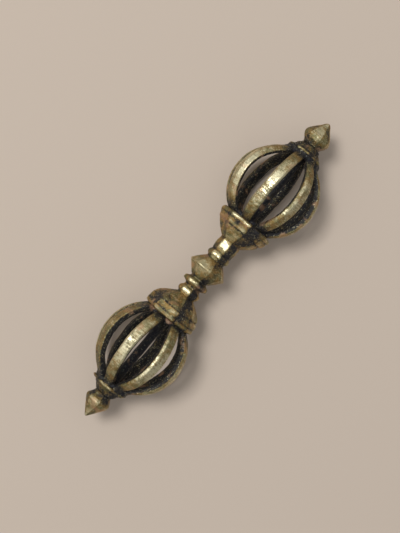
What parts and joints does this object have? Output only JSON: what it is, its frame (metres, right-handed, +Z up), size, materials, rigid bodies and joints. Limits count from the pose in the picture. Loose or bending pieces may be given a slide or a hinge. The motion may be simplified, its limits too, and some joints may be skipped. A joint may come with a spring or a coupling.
{
  "type": "vajra amulet",
  "caption": "Small double-ended brass vajra: faceted handle with a centre bead, flared cups, cages of curved prongs round a core rod, and pointed finials.",
  "frame": {"origin": "on the surface that the amulet lies on, under the middle of its bounding box and of the bead", "axes": "+X along the core rod towards the right finial, +Z up, square to that surface"},
  "size_m": [0.09, 0.0206, 0.0207],
  "materials": {
    "filed_brass": "hand-filed and handled brass, bright on the outer faces, dark on the sides",
    "cast_brass": "aged cast brass, filed in places, with dark patina in the hollows",
    "dark_brass": "brass under old black patina"
  },
  "bodies": {
    "root": {"centre_bead": "cast_brass", "core_rod": "dark_brass", "right_neck_ring": "cast_brass", "right_neck_sleeve": "cast_brass", "left_neck_ring_inner": "cast_brass", "left_neck_ring_outer": "cast_brass", "right_lotus_cup": "cast_brass", "left_lotus_cup": "cast_brass", "right_prong_1": "filed_brass", "right_prong_2": "filed_brass", "right_prong_3": "filed_brass", "right_prong_4": "filed_brass", "right_prong_5": "filed_brass", "right_prong_6": "filed_brass", "right_prong_7": "filed_brass", "right_prong_8": "filed_brass", "left_prong_1": "filed_brass", "left_prong_2": "filed_brass", "left_prong_3": "filed_brass", "left_prong_4": "filed_brass", "left_prong_5": "filed_brass", "left_prong_6": "filed_brass", "left_prong_7": "filed_brass", "left_prong_8": "filed_brass", "right_tip_ferrule": "cast_brass", "left_tip_ferrule": "cast_brass", "right_finial": "filed_brass", "left_finial": "filed_brass"}
  },
  "joints": []
}
